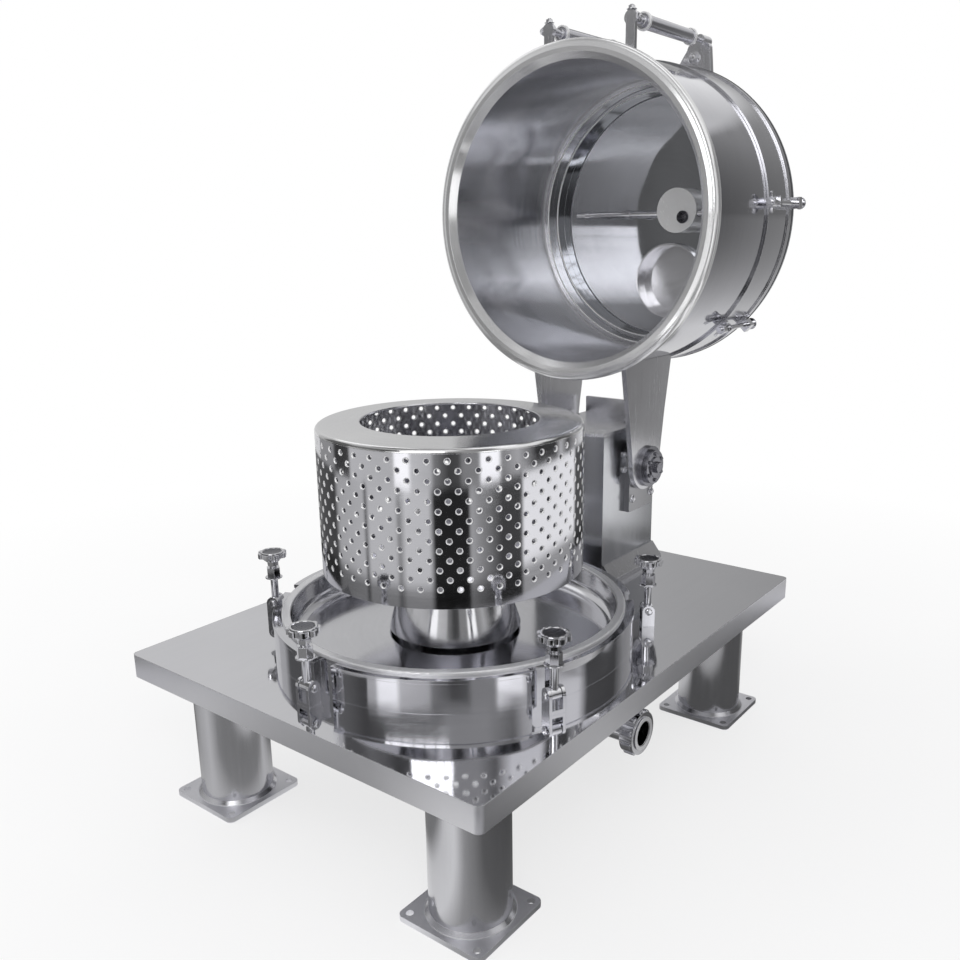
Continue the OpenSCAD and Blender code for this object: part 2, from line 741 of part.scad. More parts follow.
module inspection_port() {
    lip = 24;
    wall = 5;
    flange = [16, 18];
    cover_t = 8;
    color(steel) on_cover() translate([port_x, port_drop, lid_floor]) difference() {
        union() {
            translate([0, 0, -lip]) cylinder(r = port_r - seat, h = lip + lid_t + flange[1]);
            translate([0, 0, lid_t]) cylinder(r = port_r + flange[0], h = flange[1]);
        }
        translate([0, 0, -lip - cut]) cylinder(r = port_r - wall, h = lip + cut + lid_t + flange[1] - cover_t);
    }
}

// Side arm: round end on the shaft, concave flanks, top cut to the shell
module hinge_arm(side) {
    sink = 60;
    top_h = mouth_z - shell_r - pivot_z + sink;
    waist_h = 0.45 * top_h;
    end_c = [-10, 10];
    flank = arm_end_r;
    color(steel) mirror([side, 0, 0]) difference() {
        translate([arm_x, pivot_y, pivot_z]) rotate([90, 0, 90]) linear_extrude(arm_t) difference() {
            union() {
                translate(end_c) circle(r = arm_end_r);
                polygon([[end_c[0] - flank, end_c[1]], [end_c[0] + flank, end_c[1]], [84, waist_h],
                    [120, top_h], [-140, top_h], [-106, waist_h]]);
            }
            circle(r = shaft_r + seat);
        }
        on_cover() translate([0, 0, -sink]) cylinder(r = shell_r + seat, h = shell_depth + 2 * sink, $fn = round_fn);
    }
}

// Shaft through both ears and arms, with a stepped hub outside each arm
module hinge_shaft() {
    arm_out = arm_x + arm_t;
    disc_x = arm_out + hub_flange[1];
    half_l = disc_x + hub_disc[1];
    color(dull) translate([0, pivot_y, pivot_z]) rotate([0, 90, 0]) union() {
        translate([0, 0, -half_l]) cylinder(r = shaft_r, h = 2 * half_l);
        for (s = [0, 1]) mirror([0, 0, s]) {
            translate([0, 0, arm_out]) cylinder(r = hub_flange[0], h = hub_flange[1]);
            translate([0, 0, disc_x]) cylinder(r = hub_disc[0], h = hub_disc[1]);
            translate([0, 0, half_l]) cylinder(r = hub_cap[0], h = hub_cap[1]);
        }
    }
}

// Springs that carry the lid, one each side: eye, tube and rod
module lid_springs() {
    tube_z = bracket_depth + strap_size[1] + spring_eye_l;
    tube_end = tube_z + spring_tube_l;
    stem_r = 9;
    color(steel) on_cover() for (s = [-1, 1]) translate([s * spring_x, spring_y, 0]) union() {
        translate([0, 0, tube_z - spring_eye_l]) cylinder(r = stem_r, h = spring_eye_l, $fn = small_fn);
        translate([0, 0, tube_z]) cylinder(r = spring_r, h = spring_tube_l, $fn = small_fn);
        translate([0, 0, tube_end]) cylinder(r = spring_rod_r, h = spring_block_z - tube_end, $fn = small_fn);
    }
}

// Front straps on the shell, and broad rear lugs on the lid's rim with a block for each spring's rod
module spring_lugs() {
    foot_y = -sqrt(shell_r * shell_r - spring_x * spring_x);
    sunk = 40;
    top_x = spring_x - 4;
    top_y = spring_y + lug_drop;
    foot_x = spring_x - 32;
    half_w = lug_top_w / 2;
    color(steel) on_cover() for (side = [0, 1]) mirror([side, 0, 0]) {
        difference() {
            union() {
                translate([spring_x - strap_size[0] / 2, spring_y, bracket_depth])
                    cube([strap_size[0], spring_rise + sunk, strap_size[1]]);
                translate([spring_x, spring_y, bracket_depth]) cylinder(r = spring_r, h = strap_size[1], $fn = small_fn);
            }
            cylinder(r = shell_r + seat, h = shell_depth, $fn = round_fn);
        }
        difference() {
            translate([0, 0, shell_depth]) linear_extrude(lid_rim_t) union() {
                for (s = [-1, 1]) translate([top_x + s * (half_w - lug_corner), top_y + lug_corner])
                    circle(r = lug_corner, $fn = small_fn);
                polygon([[top_x - half_w + lug_corner, top_y], [top_x + half_w - lug_corner, top_y],
                    [top_x + half_w, top_y + lug_corner], [foot_x + lug_foot_w / 2, foot_y + sunk],
                    [foot_x - lug_foot_w / 2, foot_y + sunk], [top_x - half_w, top_y + lug_corner]]);
            }
            cylinder(r = lid_r + seat, h = shell_depth + 2 * lid_rim_t, $fn = round_fn);
        }
        translate([spring_x, spring_y, spring_block_z])
            cylinder(r = spring_block[0], h = spring_block[1], $fn = small_fn);
    }
}

// Lid clamps: a long bolt each, with a hand nut, through lugs on the band's front edge and the lid flange
module lid_clamps() {
    band_z = lid_flange_z - band_l;
    band_r = shell_r + band_stand;
    margin = 2;
    lug_end = clamp_r + clamp_nut[0] + margin;
    sunk = 6;
    tip = 6;
    tail = 12;
    end_nut = [11, 22];
    bolt_z = band_z - clamp_nut[1] - tip;
    color(steel) on_cover() for (a = lid_clamp_angles) rotate([0, 0, -a]) union() {
        difference() {
            translate([lid_flange_r - sunk, -clamp_lug_half_w, lid_flange_z])
                cube([lug_end - lid_flange_r + sunk, 2 * clamp_lug_half_w, lid_flange_t]);
            translate([0, 0, lid_flange_z - cut])
                cylinder(r = lid_flange_r + seat, h = lid_flange_t + 2 * cut, $fn = round_fn);
        }
        difference() {
            translate([band_r - sunk, -clamp_lug_half_w, band_z])
                cube([lug_end - band_r + sunk, 2 * clamp_lug_half_w, clamp_lug_t]);
            translate([0, 0, band_z - cut]) cylinder(r = band_r + seat, h = clamp_lug_t + 2 * cut, $fn = round_fn);
        }
        translate([clamp_r, 0, bolt_z])
            cylinder(r = clamp_bolt_r, h = shell_depth + end_nut[1] + tail - bolt_z, $fn = small_fn);
        translate([clamp_r, 0, band_z - clamp_nut[1]]) cylinder(r = clamp_nut[0], h = clamp_nut[1], $fn = small_fn);
        translate([clamp_r, 0, shell_depth]) cylinder(r = end_nut[0], h = end_nut[1], $fn = small_fn);
    }
}

deck();
leg(-leg_x, -leg_y);  // leg_front_left
leg(leg_x, -leg_y);  // leg_front_right
leg(-leg_x, leg_y);  // leg_rear_left
leg(leg_x, leg_y);  // leg_rear_right
tray_wall();
tray_ledge();
tray_rim();
tray_pan();
bearing_housing();
belt_guard();
drain_pipe();
hinge_box();
hinge_box_lid();
hinge_box_feet();
hinge_ear(1);  // hinge_ear_left
hinge_ear(0);  // hinge_ear_right
clamp_brackets();
basket_wall();
basket_lip();
basket_floor();
basket_skirt();
spindle();
shell_inner();
shell_outer();
mouth_ring();
lid_flange();
lid();
feed_nozzle();
wash_pipe();
inspection_port();
hinge_arm(1);  // hinge_arm_left
hinge_arm(0);  // hinge_arm_right
hinge_shaft();
lid_springs();
spring_lugs();
lid_clamps();
swing_bolt(0);  // swing_bolt_1
swing_bolt(1);  // swing_bolt_2
swing_bolt(2);  // swing_bolt_3
swing_bolt(3);  // swing_bolt_4
swing_bolt(4);  // swing_bolt_5
knob(0);  // knob_1
knob(1);  // knob_2
knob(2);  // knob_3
knob(3);  // knob_4
knob(4);  // knob_5
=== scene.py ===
import math

import bpy
import bmesh
from mathutils import Matrix, Vector


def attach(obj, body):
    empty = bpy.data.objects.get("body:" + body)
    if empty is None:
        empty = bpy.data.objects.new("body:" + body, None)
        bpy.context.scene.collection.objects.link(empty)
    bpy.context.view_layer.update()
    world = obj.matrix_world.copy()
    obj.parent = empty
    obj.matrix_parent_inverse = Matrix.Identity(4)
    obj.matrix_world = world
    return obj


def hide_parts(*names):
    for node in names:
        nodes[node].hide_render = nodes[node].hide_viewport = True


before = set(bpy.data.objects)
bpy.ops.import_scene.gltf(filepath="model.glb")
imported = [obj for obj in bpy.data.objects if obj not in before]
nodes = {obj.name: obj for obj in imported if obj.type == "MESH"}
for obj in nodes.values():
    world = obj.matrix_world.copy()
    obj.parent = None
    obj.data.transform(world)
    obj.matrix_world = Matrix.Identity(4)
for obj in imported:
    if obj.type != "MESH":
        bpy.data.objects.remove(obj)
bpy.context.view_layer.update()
scene = bpy.context.scene
scene.view_settings.view_transform = "Standard"

# Places that the looks share with the solids, in metres
AXIS_Y = -0.130
DECK_Z = 0.366
BASKET_Z = 0.538
WALL_H = 0.323
BASKET_R = 0.300
WALL_T = 0.005
PIVOT = Vector((0.0, 0.525, 0.655))
MOUTH_Y = 0.323
MOUTH_Z = 1.310
BOLT_CIRCLE_R = 0.458
LID_CLAMP_R = 0.412
SPRING_X = 0.118
SPRING_UP = 0.4507
SPRING_TUBE = 0.157
DRAIN_Z = 0.260

# Degrees round the tray and round the cover
CLAMPS = [-90, -25, 40, 140, 205]
LID_CLAMPS = [4, -44, 176, 224]


# Camera at the photograph's angle

def aim_camera():
    place = (1.36686, -1.72236, 1.27112)
    az, el, roll = (math.radians(a) for a in (37.7137, 15.3755, -0.6755))
    back = Vector((math.sin(az) * math.cos(el), -math.cos(az) * math.cos(el), math.sin(el)))
    right = (-back).cross(Vector((0, 0, 1))).normalized()
    up = right.cross(-back)
    side = right * math.cos(roll) + up * math.sin(roll)
    top = up * math.cos(roll) - right * math.sin(roll)
    data = bpy.data.cameras.new("camera")
    data.lens = 35.653
    data.sensor_width = 36
    data.shift_x = -0.01975
    data.shift_y = 0.01586
    data.clip_end = 100
    cam = bpy.data.objects.new("camera", data)
    scene.collection.objects.link(cam)
    turn = Matrix((side, top, back)).transposed().to_4x4()
    cam.matrix_world = Matrix.Translation(place) @ turn
    scene.camera = cam


aim_camera()


# Node helpers

def put(nt, kind, values=None, **props):
    n = nt.nodes.new(kind)
    for key, value in props.items():
        setattr(n, key, value)
    for key, value in (values or {}).items():
        if isinstance(value, bpy.types.NodeSocket):
            nt.links.new(value, n.inputs[key])
        else:
            n.inputs[key].default_value = value
    return n


def calc(nt, op, a, b=0.0):
    return put(nt, "ShaderNodeMath", {0: a, 1: b}, operation=op).outputs[0]


def vec(nt, op, a, b=(0, 0, 0)):
    return put(nt, "ShaderNodeVectorMath", {0: a, 1: b}, operation=op).outputs[0]


def join(nt, x, y, z):
    return put(nt, "ShaderNodeCombineXYZ", {0: x, 1: y, 2: z}).outputs[0]


def spread(nt, value, lo, hi, to_lo, to_hi):
    return put(nt, "ShaderNodeMapRange", {"Value": value, "From Min": lo, "From Max": hi,
                                          "To Min": to_lo, "To Max": to_hi}).outputs[0]


def noise(nt, at, scale, detail, roughness=0.5):
    return put(nt, "ShaderNodeTexNoise", {"Vector": at, "Scale": scale, "Detail": detail,
                                          "Roughness": roughness}).outputs[0]


def ramp(nt, value, stops):
    """Colour or grey by value; stops are (value, colour or grey)."""
    n = put(nt, "ShaderNodeValToRGB", {"Fac": value})
    points = n.color_ramp.elements
    while len(points) < len(stops):
        points.new(0.5)
    for point, (at, level) in zip(points, stops):
        point.position = at
        point.color = level if isinstance(level, tuple) else (level, level, level, 1)
    return n.outputs[0]


def blend_colours(nt, fac, a, b):
    n = put(nt, "ShaderNodeMix", data_type="RGBA")
    for index, value in ((0, fac), (6, a), (7, b)):
        if isinstance(value, bpy.types.NodeSocket):
            nt.links.new(value, n.inputs[index])
        else:
            n.inputs[index].default_value = value
    return n.outputs[2]


def new_material(name):
    mat = bpy.data.materials.new(name)
    mat.use_nodes = True
    mat.node_tree.nodes.clear()
    return mat, mat.node_tree


def set_surface(nt, shader):
    out = put(nt, "ShaderNodeOutputMaterial")
    nt.links.new(shader, out.inputs["Surface"])


# Steel with a grain: the lines run along the grain, and highlights stretch across it

# How much the noise is drawn out round a turned face, and along a straight grain
ROUND_SCALE = 0.01
ALONG_SCALE = 0.02


def length_of(nt, a, b):
    return calc(nt, "SQRT", calc(nt, "ADD", calc(nt, "MULTIPLY", a, a), calc(nt, "MULTIPLY", b, b)))


def grain_sockets(nt, grain, centre):
    """Place, place drawn out along the grain, and the grain's direction: round Z, round Y, upright or along Y."""
    at = put(nt, "ShaderNodeTexCoord").outputs["Object"]
    off = vec(nt, "SUBTRACT", at, centre)
    x, y, z = put(nt, "ShaderNodeSeparateXYZ", {0: off}).outputs
    if grain == "turned":
        angle = calc(nt, "ARCTAN2", y, x)
        lines = join(nt, length_of(nt, x, y), calc(nt, "MULTIPLY", angle, ROUND_SCALE), z)
        along = join(nt, calc(nt, "MULTIPLY", y, -1.0), x, 0.0)
    elif grain == "turned_y":
        angle = calc(nt, "ARCTAN2", z, x)
        lines = join(nt, length_of(nt, x, z), y, calc(nt, "MULTIPLY", angle, ROUND_SCALE))
        along = join(nt, z, 0.0, calc(nt, "MULTIPLY", x, -1.0))
    elif grain == "upright":
        lines = join(nt, x, y, calc(nt, "MULTIPLY", z, ALONG_SCALE))
        along = join(nt, 0.0, 0.0, 1.0)
    else:
        lines = join(nt, x, calc(nt, "MULTIPLY", y, ALONG_SCALE), z)
        along = join(nt, 0.0, 1.0, 0.0)
    return at, lines, along


def steel(name, colour, rough, grain, centre=(0, 0, 0), stretch=0.5, line=900.0, line_bump=0.10, rough_var=0.04,
          tone_var=0.05, edge=0.0012, wave=0.0, metallic=1.0, sides=None, below=None):
    """line: scale of the grain; edge: radius of the softened edges; wave: depth of the dents in a thin sheet;
    sides: roughness and tone of upright faces; below: a height, and roughness and tone of what lies under it."""
    mat, nt = new_material(name)
    at, lines, along = grain_sockets(nt, grain, centre)
    fine = noise(nt, lines, line, 3.0, 0.6)
    broad = noise(nt, lines, line * 0.12, 2.0)
    cloud = noise(nt, at, 5.0, 4.0, 0.55)
    spots = noise(nt, at, 60.0, 3.0)
    mixed = calc(nt, "ADD", calc(nt, "MULTIPLY", fine, 0.6), calc(nt, "MULTIPLY", broad, 0.4))
    rough_a = spread(nt, mixed, 0.3, 0.7, rough - rough_var, rough + rough_var)
    rough_b = spread(nt, cloud, 0.3, 0.7, -0.35 * rough_var, 0.6 * rough_var)
    rough_c = spread(nt, spots, 0.62, 0.80, 0.0, 0.5 * rough_var)
    rough_all = calc(nt, "MAXIMUM", calc(nt, "ADD", calc(nt, "ADD", rough_a, rough_b), rough_c), 0.02)
    tone = calc(nt, "ADD", calc(nt, "MULTIPLY", cloud, 0.5), calc(nt, "MULTIPLY", mixed, 0.5))
    low = tuple(c * (1 - tone_var) for c in colour) + (1,)
    high = tuple(min(1.0, c * (1 + tone_var)) for c in colour) + (1,)
    base = ramp(nt, tone, [(0.35, low), (0.65, high)])
    facing = put(nt, "ShaderNodeNewGeometry").outputs["Normal"]
    fac = None
    if sides:
        other_rough, other_tone = sides
        steep = put(nt, "ShaderNodeSeparateXYZ", {0: facing}).outputs[2]
        fac = calc(nt, "LESS_THAN", calc(nt, "ABSOLUTE", steep), 0.5)
    if below:
        limit, other_rough, other_tone = below
        height = put(nt, "ShaderNodeSeparateXYZ", {0: at}).outputs[2]
        fac = calc(nt, "LESS_THAN", height, limit)
    if fac:
        rough_all = calc(nt, "ADD", rough_all, calc(nt, "MULTIPLY", fac, other_rough - rough))
        toned = vec(nt, "MULTIPLY", base, (other_tone, other_tone, other_tone))
        base = blend_colours(nt, fac, base, toned)
    round_edge = put(nt, "ShaderNodeBevel", {"Radius": edge}, samples=4).outputs[0]
    if wave:
        dents = noise(nt, at, 7.0, 1.0)
        round_edge = put(nt, "ShaderNodeBump", {"Strength": 1.0, "Distance": wave, "Height": dents,
                                                "Normal": round_edge}).outputs[0]
    normal = put(nt, "ShaderNodeBump", {"Strength": line_bump, "Distance": 0.0002, "Height": mixed,
                                        "Normal": round_edge}).outputs[0]
    world_along = put(nt, "ShaderNodeVectorTransform", {0: along}, vector_type="VECTOR",
                      convert_from="OBJECT", convert_to="WORLD").outputs[0]
    # A little off the grain, so that a face square to it still has a tangent and isn't black
    off_grain = vec(nt, "ADD", vec(nt, "NORMALIZE", world_along), (0.020, 0.030, 0.025))
    tangent = vec(nt, "CROSS_PRODUCT", facing, off_grain)
    shader = put(nt, "ShaderNodeBsdfPrincipled", {"Base Color": base, "Roughness": rough_all, "Metallic": metallic,
                                                  "Anisotropic": stretch, "Normal": normal, "Tangent": tangent})
    set_surface(nt, shader.outputs[0])
    return mat


BASKET_C = (0.0, AXIS_Y, 0.0)
COVER_C = (0.0, 0.0, MOUTH_Z)

mats = {
    "deck": steel("deck_mirror", (0.84, 0.84, 0.87), 0.05, "along", stretch=0.0, line=300, line_bump=0.02,
                  rough_var=0.02, tone_var=0.02, wave=0.0010, edge=0.002, sides=(0.42, 1.0)),
    "leg": steel("leg_brushed", (0.68, 0.68, 0.71), 0.18, "upright", stretch=0.3, line=700, line_bump=0.15,
                 below=(0.0135, 0.42, 1.22)),
    "tray": steel("tray_bright", (0.80, 0.80, 0.83), 0.07, "turned", BASKET_C, stretch=0.3, line_bump=0.04,
                  rough_var=0.02),
    "rim": steel("rim_satin", (0.84, 0.84, 0.86), 0.32, "turned", BASKET_C, stretch=0.3, line_bump=0.10,
                 metallic=0.75),
    "pan": steel("pan_bright", (0.76, 0.76, 0.79), 0.12, "turned", BASKET_C, stretch=0.5, line_bump=0.08),
    "basket": steel("basket_bright", (0.78, 0.78, 0.82), 0.08, "turned", BASKET_C, stretch=0.3, line_bump=0.05,
                    rough_var=0.03),
    # Hole walls and chamfers are near white and partly matte: a painted highlight, so that the holes show as
    # bright dots
    "hole": steel("hole_edge_painted_highlight", (0.96, 0.96, 0.98), 0.35, "turned", BASKET_C, stretch=0.0, line_bump=0.0,
                  metallic=0.55),
    "lip": steel("lip_satin", (0.95, 0.95, 0.97), 0.13, "turned", BASKET_C, stretch=0.6, line_bump=0.10),
    "skirt": steel("skirt_turned", (0.76, 0.76, 0.79), 0.10, "turned", BASKET_C, stretch=0.5, line_bump=0.06),
    "dull": steel("machined_dull", (0.50, 0.50, 0.52), 0.30, "turned", BASKET_C, stretch=0.4),
    "shell_in": steel("shell_inside", (0.76, 0.76, 0.79), 0.17, "turned_y", COVER_C, stretch=1.0, line_bump=0.05),
    "nozzle": steel("nozzle_satin", (0.97, 0.97, 0.98), 0.24, "turned_y", COVER_C, stretch=0.2, metallic=0.3),
    "port": steel("port_glossy", (0.82, 0.82, 0.85), 0.12, "turned_y", COVER_C, stretch=0.0, line_bump=0.02,
                  wave=0.0040, metallic=0.75),
    "shell_out": steel("shell_outside", (0.72, 0.72, 0.76), 0.08, "turned_y", COVER_C, stretch=0.3,
                       line_bump=0.05),
    "mouth": steel("mouth_bright", (0.96, 0.96, 0.97), 0.18, "turned_y", COVER_C, stretch=0.3, line_bump=0.03,
                   metallic=0.80, tone_var=0.02),
    "flange": steel("flange_bright", (0.70, 0.70, 0.73), 0.12, "turned_y", COVER_C, stretch=0.4),
    "lid": steel("lid_mirror", (0.56, 0.57, 0.60), 0.05, "turned_y", COVER_C, stretch=0.0, line_bump=0.02,
                 rough_var=0.02, wave=0.0012),
    "box": steel("box_satin", (0.66, 0.67, 0.70), 0.20, "upright", stretch=0.3, line=500, line_bump=0.08),
    "arm": steel("arm_satin", (0.80, 0.80, 0.83), 0.24, "upright", stretch=0.3, line=500, line_bump=0.06),
    "hub": steel("hub_turned", (0.34, 0.34, 0.37), 0.24, "along", stretch=0.3),
    "chrome": steel("fittings_bright", (0.82, 0.82, 0.85), 0.08, "upright", stretch=0.1, line_bump=0.03),
    "spring": steel("spring_tube", (0.62, 0.62, 0.66), 0.20, "along", stretch=0.3),
    "knob_dark": steel("knob_dark", (0.16, 0.16, 0.18), 0.26, "turned", BASKET_C, stretch=0.0, tone_var=0.2),
    "collar": steel("collar_white", (0.92, 0.92, 0.93), 0.30, "along", stretch=0.0, tone_var=0.03, metallic=0.6),
}


def rubber(name):
    mat, nt = new_material(name)
    at = put(nt, "ShaderNodeTexCoord").outputs["Object"]
    grain = noise(nt, at, 900.0, 3.0)
    cloud = noise(nt, at, 12.0, 3.0)
    base = ramp(nt, cloud, [(0.35, (0.020, 0.020, 0.022, 1)), (0.65, (0.045, 0.045, 0.048, 1))])
    rough = spread(nt, grain, 0.3, 0.7, 0.5, 0.7)
    normal = put(nt, "ShaderNodeBump", {"Strength": 0.3, "Distance": 0.0002, "Height": grain}).outputs[0]
    shader = put(nt, "ShaderNodeBsdfPrincipled", {"Base Color": base, "Roughness": rough, "Normal": normal})
    set_surface(nt, shader.outputs[0])
    return mat


mats["rubber"] = rubber("gasket_rubber")

# Which material each CAD node wears
looks = {
    "deck": "deck", "tray_wall": "tray", "tray_ledge": "tray", "tray_rim": "rim", "tray_pan": "pan",
    "bearing_housing": "dull", "belt_guard": "dull", "drain_pipe": "chrome", "hinge_box": "box",
    "hinge_box_lid": "arm", "hinge_box_feet": "arm", "hinge_ear_left": "dull", "hinge_ear_right": "dull",
    "clamp_brackets": "chrome", "basket_wall": "basket", "basket_lip": "lip", "basket_floor": "basket",
    "basket_skirt": "skirt", "spindle": "dull", "shell_inner": "shell_in", "shell_outer": "shell_out",
    "mouth_ring": "mouth", "lid_flange": "flange", "lid": "lid", "feed_nozzle": "nozzle", "wash_pipe": "chrome",
    "inspection_port": "port", "hinge_arm_left": "arm", "hinge_arm_right": "arm", "hinge_shaft": "hub",
    "lid_springs": "spring", "spring_lugs": "arm", "lid_clamps": "chrome",
}
for k in range(1, 6):
    looks["swing_bolt_%d" % k] = "chrome"
    looks["knob_%d" % k] = "chrome"
for corner in ("front_left", "front_right", "rear_left", "rear_right"):
    looks["leg_" + corner] = "leg"
for name, obj in nodes.items():
    mat = mats[looks[name]]
    if not obj.material_slots:
        obj.data.materials.append(mat)
    for slot in obj.material_slots:
        slot.material = mat


# Mesh helpers

def mesh_object(name, bm, mat):
    data = bpy.data.meshes.new(name)
    bm.to_mesh(data)
    bm.free()
    data.materials.append(mat)
    obj = bpy.data.objects.new(name, data)
    scene.collection.objects.link(obj)
    return obj


def piece(name, bm, body, mat, at=Matrix()):
    """Added piece on a body, smooth but for its edges."""
    bmesh.ops.recalc_face_normals(bm, faces=bm.faces)
    bmesh.ops.transform(bm, matrix=at, verts=bm.verts)
    obj = mesh_object(name, bm, mats[mat])
    obj.data.shade_smooth()
    obj.data.set_sharp_from_angle(angle=math.radians(35))
    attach(obj, body)


def drilled_wall():
    """Basket wall with every drain hole: staggered rows, each hole with a small chamfer on both faces."""
    half_pitches = 92   # half pitches round the wall; a row has a hole at every second one
    rows = 14
    low = 0.042         # first row above the wall's foot
    pitch = 0.0205      # between rows
    hole_r = 0.0048
    chamfer = 0.0022
    around = 16         # corners of a hole
    outer, inner = BASKET_R, BASKET_R - WALL_T
    verts, faces, kinds, seen = [], [], [], {}

    def vertex(radius, angle, z):
        key = (round(radius, 5), round(angle % (2 * math.pi), 5), round(z, 5))
        if key not in seen:
            seen[key] = len(verts)
            verts.append((radius * math.cos(angle), AXIS_Y + radius * math.sin(angle), BASKET_Z + z))
        return seen[key]

    def face(ids, kind, flip):
        """kind: 1 on the outer face, -1 on the inner face, 0 in a hole or on an end."""
        faces.append(ids[::-1] if flip else ids)
        kinds.append(kind)

    step = 2 * math.pi / half_pitches
    plain_bands = [(0.0, low - 0.5 * pitch), (low + (rows - 0.5) * pitch, WALL_H)]
    for radius, kind in ((outer, 1), (inner, -1)):
        for z0, z1 in plain_bands:
            for c in range(half_pitches):
                a0, a1 = c * step, (c + 1) * step
                face([vertex(radius, a0, z0), vertex(radius, a1, z0), vertex(radius, a1, z1),
                      vertex(radius, a0, z1)], kind, kind < 0)
    for z, flip in ((0.0, True), (WALL_H, False)):
        for c in range(half_pitches):
            a0, a1 = c * step, (c + 1) * step
            face([vertex(inner, a0, z), vertex(outer, a0, z), vertex(outer, a1, z), vertex(inner, a1, z)],
                 0, flip)
    # Each hole's field has eight corners, in half pitches round and pitches up from the hole
    frame_at = [(1, 0), (1, 0.5), (0, 0.5), (-1, 0.5), (-1, 0), (-1, -0.5), (0, -0.5), (1, -0.5)]
    for row in range(rows):
        zc = low + row * pitch
        for c in range(row % 2, half_pitches, 2):
            ac = c * step
            rims = {}
            for radius, size, label in ((outer, hole_r + chamfer, "o"), (outer - chamfer, hole_r, "oi"),
                                        (inner + chamfer, hole_r, "ii"), (inner, hole_r + chamfer, "i")):
                rims[label] = [vertex(radius, ac + size * math.cos(2 * math.pi * k / around) / radius,
                                      zc + size * math.sin(2 * math.pi * k / around)) for k in range(around)]
            for radius, rim, kind in ((outer, rims["o"], 1), (inner, rims["i"], -1)):
                edge = [vertex(radius, ac + u * step, zc + v * pitch) for u, v in frame_at]
                for k in range(8):
                    b0, b1 = edge[k], edge[(k + 1) % 8]
                    c0, c1, c2 = rim[2 * k], rim[2 * k + 1], rim[(2 * k + 2) % around]
                    face([b0, b1, c2, c1], kind, kind < 0)
                    face([b0, c1, c0], kind, kind < 0)
            for a, b in (("o", "oi"), ("oi", "ii"), ("ii", "i")):
                for k in range(around):
                    n = (k + 1) % around
                    face([rims[a][k], rims[a][n], rims[b][n], rims[b][k]], 0, False)
    data = bpy.data.meshes.new("basket_wall_drilled")
    data.from_pydata(verts, [], faces)
    data.update()
    data.shade_smooth()
    data.set_sharp_from_angle(angle=math.radians(25))
    # The wall's faces are shaded as a true cylinder, whatever the holes do to the mesh
    corner_normals = []
    for poly in data.polygons:
        kind = kinds[poly.index]
        for vi in poly.vertices:
            if kind:
                v = data.vertices[vi].co
                corner_normals.append(Vector((v.x, v.y - AXIS_Y, 0)).normalized() * kind)
            else:
                corner_normals.append(poly.normal)
    data.normals_split_custom_set(corner_normals)
    # Faces in the holes and on the wall's ends wear the near-white painted highlight
    data.materials.append(mats["basket"])
    data.materials.append(mats["hole"])
    for poly in data.polygons:
        poly.material_index = 0 if kinds[poly.index] else 1
    obj = bpy.data.objects.new("basket_wall_drilled", data)
    scene.collection.objects.link(obj)
    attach(obj, "basket")
    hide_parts("basket_wall")


drilled_wall()


# Small fittings

def corners(bm, r, z, count):
    turns = [2 * math.pi * k / count for k in range(count)]
    return [bm.verts.new((r * math.cos(a), r * math.sin(a), z)) for a in turns]


def band(bm, a, b):
    """Faces between two rings of corners; a ring of one corner makes a cone."""
    count = max(len(a), len(b))
    for k in range(count):
        n = (k + 1) % count
        if len(a) == 1:
            bm.faces.new((a[0], b[k], b[n]))
        elif len(b) == 1:
            bm.faces.new((a[k], a[n], b[0]))
        else:
            bm.faces.new((a[k], a[n], b[n], b[k]))


def lathe(profile, segments):
    """Solid of revolution about local Z from (radius, height) points; a point on the axis closes it."""
    bm = bmesh.new()
    rings = [corners(bm, r, z, 1 if r == 0 else segments) for r, z in profile]
    for a, b in zip(rings, rings[1:]):
        band(bm, a, b)
    return bm


def join_into(bm, other, at):
    """Add another mesh to this one, moved by at."""
    data = bpy.data.meshes.new("part")
    bmesh.ops.transform(other, matrix=at, verts=other.verts)
    other.to_mesh(data)
    other.free()
    bm.from_mesh(data)
    bpy.data.meshes.remove(data)


def hexagon(r, h):
    """Hexagon nut or head with bevelled corners, on z = 0."""
    bevel = 0.0008
    bm = bmesh.new()
    rings = [corners(bm, radius, z, 6) for radius, z in ((r, 0), (r, h - bevel), (r - 1.6 * bevel, h))]
    for a, b in zip(rings, rings[1:]):
        band(bm, a, b)
    bm.faces.new(rings[-1])
    bm.faces.new(rings[0][::-1])
    return bm


def bolt_mesh(r, h, washer=True):
    """Hexagon head on a washer, with a domed end."""
    bm = bmesh.new()
    t = 0.25 * h
    if washer:
        join_into(bm, lathe([(0, 0), (1.35 * r, 0), (1.35 * r, 0.8 * t), (1.25 * r, t), (0, t)], 32), Matrix())
    join_into(bm, hexagon(r, h), Matrix.Translation((0, 0, t if washer else 0)))
    top = h + (t if washer else 0)
    dome = [(0.6 * r, top - 0.0002), (0.58 * r, top + 0.12 * r), (0.4 * r, top + 0.3 * r), (0, top + 0.36 * r)]
    join_into(bm, lathe(dome, 24), Matrix())
    return bm


def toward(direction, at):
    """Place at a point, with Z along a direction."""
    turn = Vector(direction).to_track_quat("Z", "Y").to_matrix().to_4x4()
    return Matrix.Translation(at) @ turn


def at_bolt(angle, z=0.0):
    """Place on the swing bolts' circle, at a height above the deck, with X pointing outwards."""
    a = math.radians(angle)
    x, y = BOLT_CIRCLE_R * math.cos(a), AXIS_Y + BOLT_CIRCLE_R * math.sin(a)
    return Matrix.Translation((x, y, DECK_Z + z)) @ Matrix.Rotation(a, 4, "Z")


def on_cover(x, up, depth):
    """Point on the open cover, from the middle of its mouth."""
    return Vector((x, MOUTH_Y + depth, MOUTH_Z + up))


